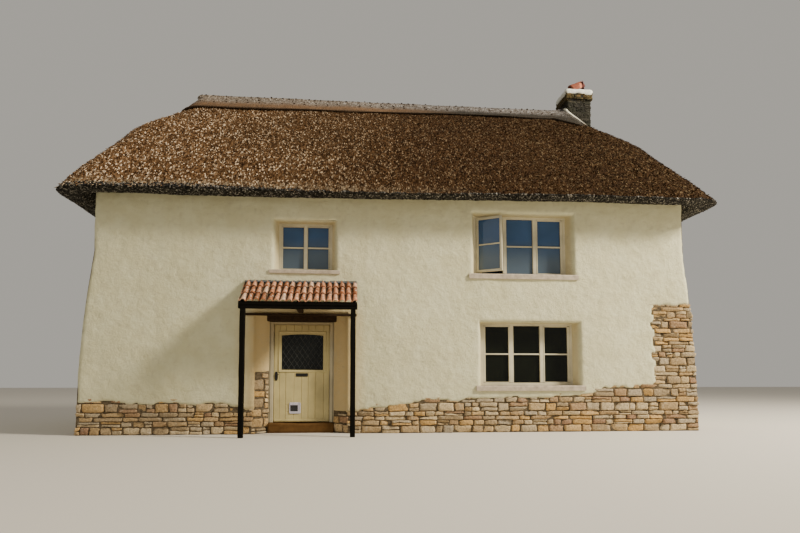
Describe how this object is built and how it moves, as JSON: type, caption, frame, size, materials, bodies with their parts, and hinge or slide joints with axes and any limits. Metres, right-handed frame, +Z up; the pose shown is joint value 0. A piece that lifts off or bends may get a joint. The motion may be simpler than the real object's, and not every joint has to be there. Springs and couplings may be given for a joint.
{
  "type": "thatched cottage",
  "caption": "Two-storey limewashed cottage with a hipped thatched roof, a stub stone chimney, casement windows and a small tiled porch over a half-glazed door with a cat flap.",
  "frame": {"origin": "ground level, in the middle between the outer faces of the four walls", "axes": "+Z up, the front with the door and porch faces -Y, +X to the right seen from the front"},
  "size_m": [12.8, 6.78, 8.52],
  "materials": {
    "limewash": "rough cream limewash over cob and stone, undulating and weathered",
    "stone": "grey-brown rubble stone with pale lime joints",
    "stone_floor": "worn grey flagstones",
    "floor_boards": "old oak boards",
    "thatch": "weathered dark brown water reed, rough and fibrous",
    "ridge_thatch": "newer grey-beige straw ridge with small ties",
    "mortar": "pale lime mortar",
    "terracotta": "old orange clay tile with pale lichen",
    "cream_paint": "cream gloss paint on wood, a little chalky",
    "dark_timber": "blackened timber, dry and rough",
    "black_iron": "black painted iron",
    "flap_plastic": "pale lilac-grey moulded plastic",
    "flap_panel": "smoked clear plastic",
    "window_glass": "old slightly uneven window glass",
    "sill_stone": "pinkish-grey stone"
  },
  "bodies": {
    "building": {"back_lower_window_frame": "cream_paint", "back_lower_window_glass": "window_glass", "back_plinth": "stone", "back_upper_window_frame": "cream_paint", "back_upper_window_glass": "window_glass", "back_wall": "limewash", "chimney_breast": "limewash", "chimney_cap": "mortar", "chimney_hood": "terracotta", "chimney_stack": "stone", "door_frame": "cream_paint", "door_lintel": "dark_timber", "door_threshold": "stone", "front_plinth_left": "stone", "front_plinth_right": "stone", "front_wall_left": "limewash", "front_wall_right": "limewash", "ground_floor": "stone_floor", "left_end_wall": "limewash", "left_plinth": "stone", "lower_right_sill": "sill_stone", "lower_right_window_frame": "cream_paint", "lower_right_window_glass": "window_glass", "open_casement": "cream_paint", "open_casement_glass": "window_glass", "porch_front_beam": "dark_timber", "porch_ledger": "dark_timber", "porch_post_left": "dark_timber", "porch_post_right": "dark_timber", "porch_rafter_left": "dark_timber", "porch_rafter_middle": "dark_timber", "porch_rafter_right": "dark_timber", "porch_tie": "dark_timber", "porch_tiles": "terracotta", "porch_wall_plate": "dark_timber", "ridge_cap": "ridge_thatch", "right_end_wall": "limewash", "right_plinth": "stone", "thatch_back": "thatch", "thatch_front": "thatch", "thatch_left_hip": "thatch", "thatch_right_hip": "thatch", "upper_floor": "floor_boards", "upper_left_sill": "sill_stone", "upper_left_window_frame": "cream_paint", "upper_left_window_glass": "window_glass", "upper_right_sill": "sill_stone", "upper_right_window_frame": "cream_paint", "upper_right_window_glass": "window_glass", "wall_over_door": "limewash"},
    "door": {"door_leaf": "cream_paint", "door_glass": "window_glass", "letter_plate": "black_iron", "door_latch": "black_iron", "cat_door_frame": "flap_plastic"},
    "cat_flap": {"cat_flap": "flap_panel"}
  },
  "joints": [
    {"name": "door_hinge", "type": "hinge", "parent": "building", "child": "door", "pos_m": [-1.377, -2.352, 0.201], "axis": [0, 0, -1], "range_deg": [0, 95]},
    {"name": "cat_flap_hinge", "type": "hinge", "parent": "door", "child": "cat_flap", "pos_m": [-2.051, -2.3825, 0.5125], "axis": [1, 0, 0], "range_deg": [-75, 75]}
  ]
}
